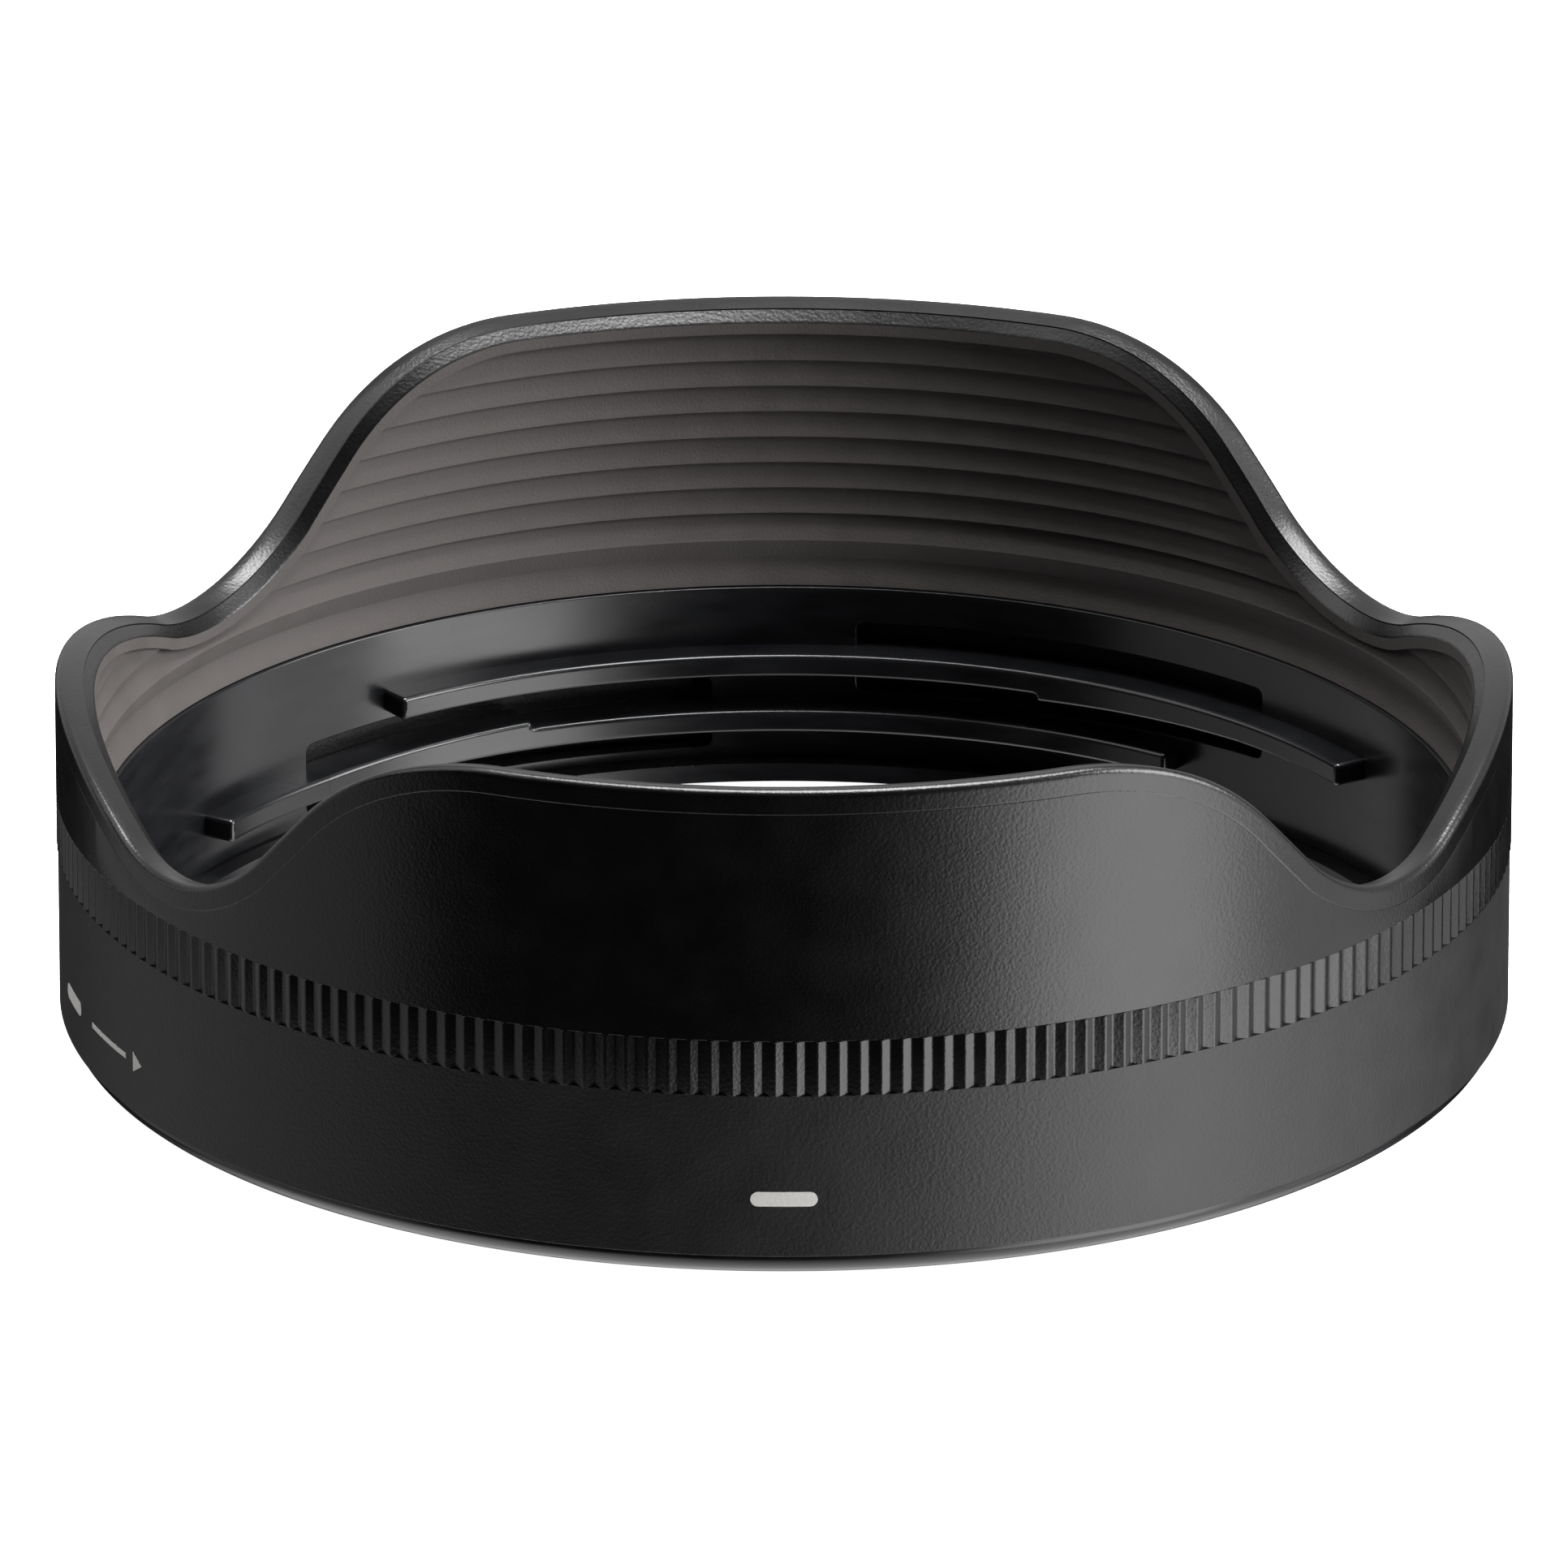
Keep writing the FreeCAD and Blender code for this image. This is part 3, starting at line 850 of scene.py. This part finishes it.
def make_bayonet_ring():
    """Inner ring: bead, wall with windows, and the fixed rails on two levels."""
    builds = [ring_bead(), ring_wall()]
    for level in ("upper", "lower"):
        for turn in (0.0, 180.0):
            builds += rail_pieces(level, turn)
    mesh = round_normals(mesh_from("bayonet_ring", merged(builds), sharp_angle=50.0))
    piece = add_object("bayonet_ring", mesh, [SATIN], "hood")
    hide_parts("mount_ring")
    return piece


def make_arm(node, level, turn):
    """Sprung stretch of rail, cut off square just inside the ends of its window."""
    outline = stepped_outline(
        WINDOW_START - RAIL_OVERRUN, ARM_STEP_ANGLE, WINDOW_END + RAIL_OVERRUN, 0.0, RAIL_CORNER,
    )
    shape = placed(outline, level, turn)
    first, last = WINDOW_START + ARM_CLEARANCE, WINDOW_END - ARM_CLEARANCE
    if level == "lower":
        first, last = -last, -first
    build = wrapped_plate([shape], RAIL_INNER, RING_OUTER, RAIL_EDGE, first + turn, last + turn)
    name = node + "_rail"
    mesh = round_normals(mesh_from(name, build, sharp_angle=50.0))
    piece = add_object(name, mesh, [SATIN], node)
    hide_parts(node)
    return piece


# ---------------------------------------------------------------- marks


def paint_marks():
    """The printed marks keep their CAD shape and get the paint."""
    for name in ("index_mark", "lock_marks"):
        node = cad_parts[name]
        node.data.materials.clear()
        node.data.materials.append(PAINT)


# ---------------------------------------------------------------- studio


def floor_material():
    """Pale, even table top."""
    shader = Shader("pale_floor")
    cloud = shader.noise(0.002)
    shader.drive("Base Color", shader.blend(cloud, (0.86, 0.86, 0.86), (0.88, 0.88, 0.88)))
    shader.set(Roughness=0.9, Emission_Color=(1.0, 1.0, 1.0, 1.0), Emission_Strength=1.0)
    return shader.material


def make_floor():
    """Large pale floor just under the hood; light passes through it to the hood."""
    build = bmesh.new()
    half = FLOOR_HALF
    corners = [(-half, -half), (half, -half), (half, half), (-half, half)]
    build.faces.new([build.verts.new((x, y, 0.0)) for x, y in corners])
    mesh = bpy.data.meshes.new("floor")
    build.to_mesh(mesh)
    build.free()
    mesh.materials.append(floor_material())
    floor = bpy.data.objects.new("floor", mesh)
    floor.location.z = -FLOOR_DROP
    bpy.context.scene.collection.objects.link(floor)
    floor.visible_glossy = False
    floor.visible_diffuse = False
    floor.visible_shadow = False
    return floor


def soft_box(name, azimuth, elevation, width, height, power):
    """Area light aimed at the hood.

    Azimuth 0 is the camera's side and positive is to its right.  A light below the
    table stands for the pale table top that mirrors it.
    """
    light = bpy.data.lights.new(name, "AREA")
    light.shape = "RECTANGLE"
    light.size = width
    light.size_y = height
    light.energy = power
    lamp = bpy.data.objects.new(name, light)
    turn, lift = math.radians(azimuth), math.radians(elevation)
    level = math.cos(lift)
    place = Vector((math.sin(turn) * level, -math.cos(turn) * level, math.sin(lift)))
    lamp.location = place * LAMP_DISTANCE
    lamp.rotation_euler = place.to_track_quat("Z", "Y").to_euler()
    bpy.context.scene.collection.objects.link(lamp)
    return lamp


def smooth_step(tree, source, low, high):
    """Value that rises smoothly from 0 to 1 between low and high."""
    spread = tree.nodes.new("ShaderNodeMapRange")
    spread.interpolation_type = "SMOOTHSTEP"
    spread.inputs["From Min"].default_value = low
    spread.inputs["From Max"].default_value = high
    tree.links.new(source, spread.inputs["Value"])
    return spread.outputs["Result"]


def make_world():
    """Dark room with a pale wall behind the hood and a pale ground far below it.

    The strength depends only on the direction, by its Y and Z.
    """
    dark_room, wall_glow, ground_glow = 0.002, 0.65, 1.9
    world = bpy.data.worlds.new("room")
    world.use_nodes = True
    tree = world.node_tree
    background = tree.nodes["Background"]
    background.inputs["Color"].default_value = (1.0, 1.0, 1.0, 1.0)
    place = tree.nodes.new("ShaderNodeTexCoord")
    parts = tree.nodes.new("ShaderNodeSeparateXYZ")
    tree.links.new(place.outputs["Generated"], parts.inputs[0])

    def add(kind, first, second, third=None):
        """Output of a math node with numbers or links as its inputs."""
        node = tree.nodes.new("ShaderNodeMath")
        node.operation = kind
        for index, value in enumerate((first, second, third)):
            if isinstance(value, float):
                node.inputs[index].default_value = value
            elif value is not None:
                tree.links.new(value, node.inputs[index])
        return node.outputs[0]

    behind = smooth_step(tree, parts.outputs["Y"], 0.0, 0.8)
    above = smooth_step(tree, parts.outputs["Z"], -0.12, 0.02)
    wall = add("MULTIPLY_ADD", add("MULTIPLY", behind, above), wall_glow, dark_room)
    below = smooth_step(tree, parts.outputs["Z"], -0.6, -0.85)
    beyond = smooth_step(tree, parts.outputs["Y"], -1.0, 0.0)
    glow = add("MULTIPLY_ADD", add("MULTIPLY", below, beyond), ground_glow, wall)
    tree.links.new(glow, background.inputs["Strength"])
    bpy.context.scene.world = world


def make_camera():
    """Long lens from the front, a little above the hood."""
    height = CAD_BOUNDS[1][2]
    target = Vector((0.0, 0.0, CAMERA_AIM * height))
    data = bpy.data.cameras.new("camera")
    data.sensor_width = 36.0
    data.lens = 498.2
    data.clip_end = 50.0
    camera = bpy.data.objects.new("camera", data)
    away = Vector((0.0, -math.cos(CAMERA_ELEVATION), math.sin(CAMERA_ELEVATION)))
    camera.location = target + away * CAMERA_DISTANCE
    camera.rotation_euler = away.to_track_quat("Z", "Y").to_euler()
    bpy.context.scene.collection.objects.link(camera)
    bpy.context.scene.camera = camera


def make_studio():
    """Floor, room light and soft boxes."""
    make_floor()
    make_world()
    for name, azimuth, elevation, width, height, power in (
        ("key_low", 56.0, -22.0, 0.76, 1.1, 8.8),
        ("key_low_wide", 72.0, -22.0, 2.0, 1.1, 8.3),
        ("key_high", 78.0, 24.0, 0.8, 0.7, 22.0),
        ("right_high", 95.0, 52.0, 0.7, 0.8, 2.2),
        ("left_high", -95.0, 50.0, 0.8, 0.8, 3.5),
        ("fill_left", -97.0, -14.0, 1.6, 1.1, 2.3),
        ("top", 140.0, 83.0, 0.9, 0.55, 32.0),
    ):
        soft_box(name, azimuth, elevation, width, height, power)
    settings = bpy.context.scene.view_settings
    settings.view_transform = "Standard"
    settings.look = "None"


# ---------------------------------------------------------------- build

make_petal_barrel()
make_grip_ring()
make_skirt()
make_bayonet_ring()
for node, level, turn in (
    ("arm_upper_rear_right", "upper", 0.0),
    ("arm_upper_front_left", "upper", 180.0),
    ("arm_lower_rear_left", "lower", 0.0),
    ("arm_lower_front_right", "lower", 180.0),
):
    make_arm(node, level, turn)
paint_marks()
make_studio()
make_camera()
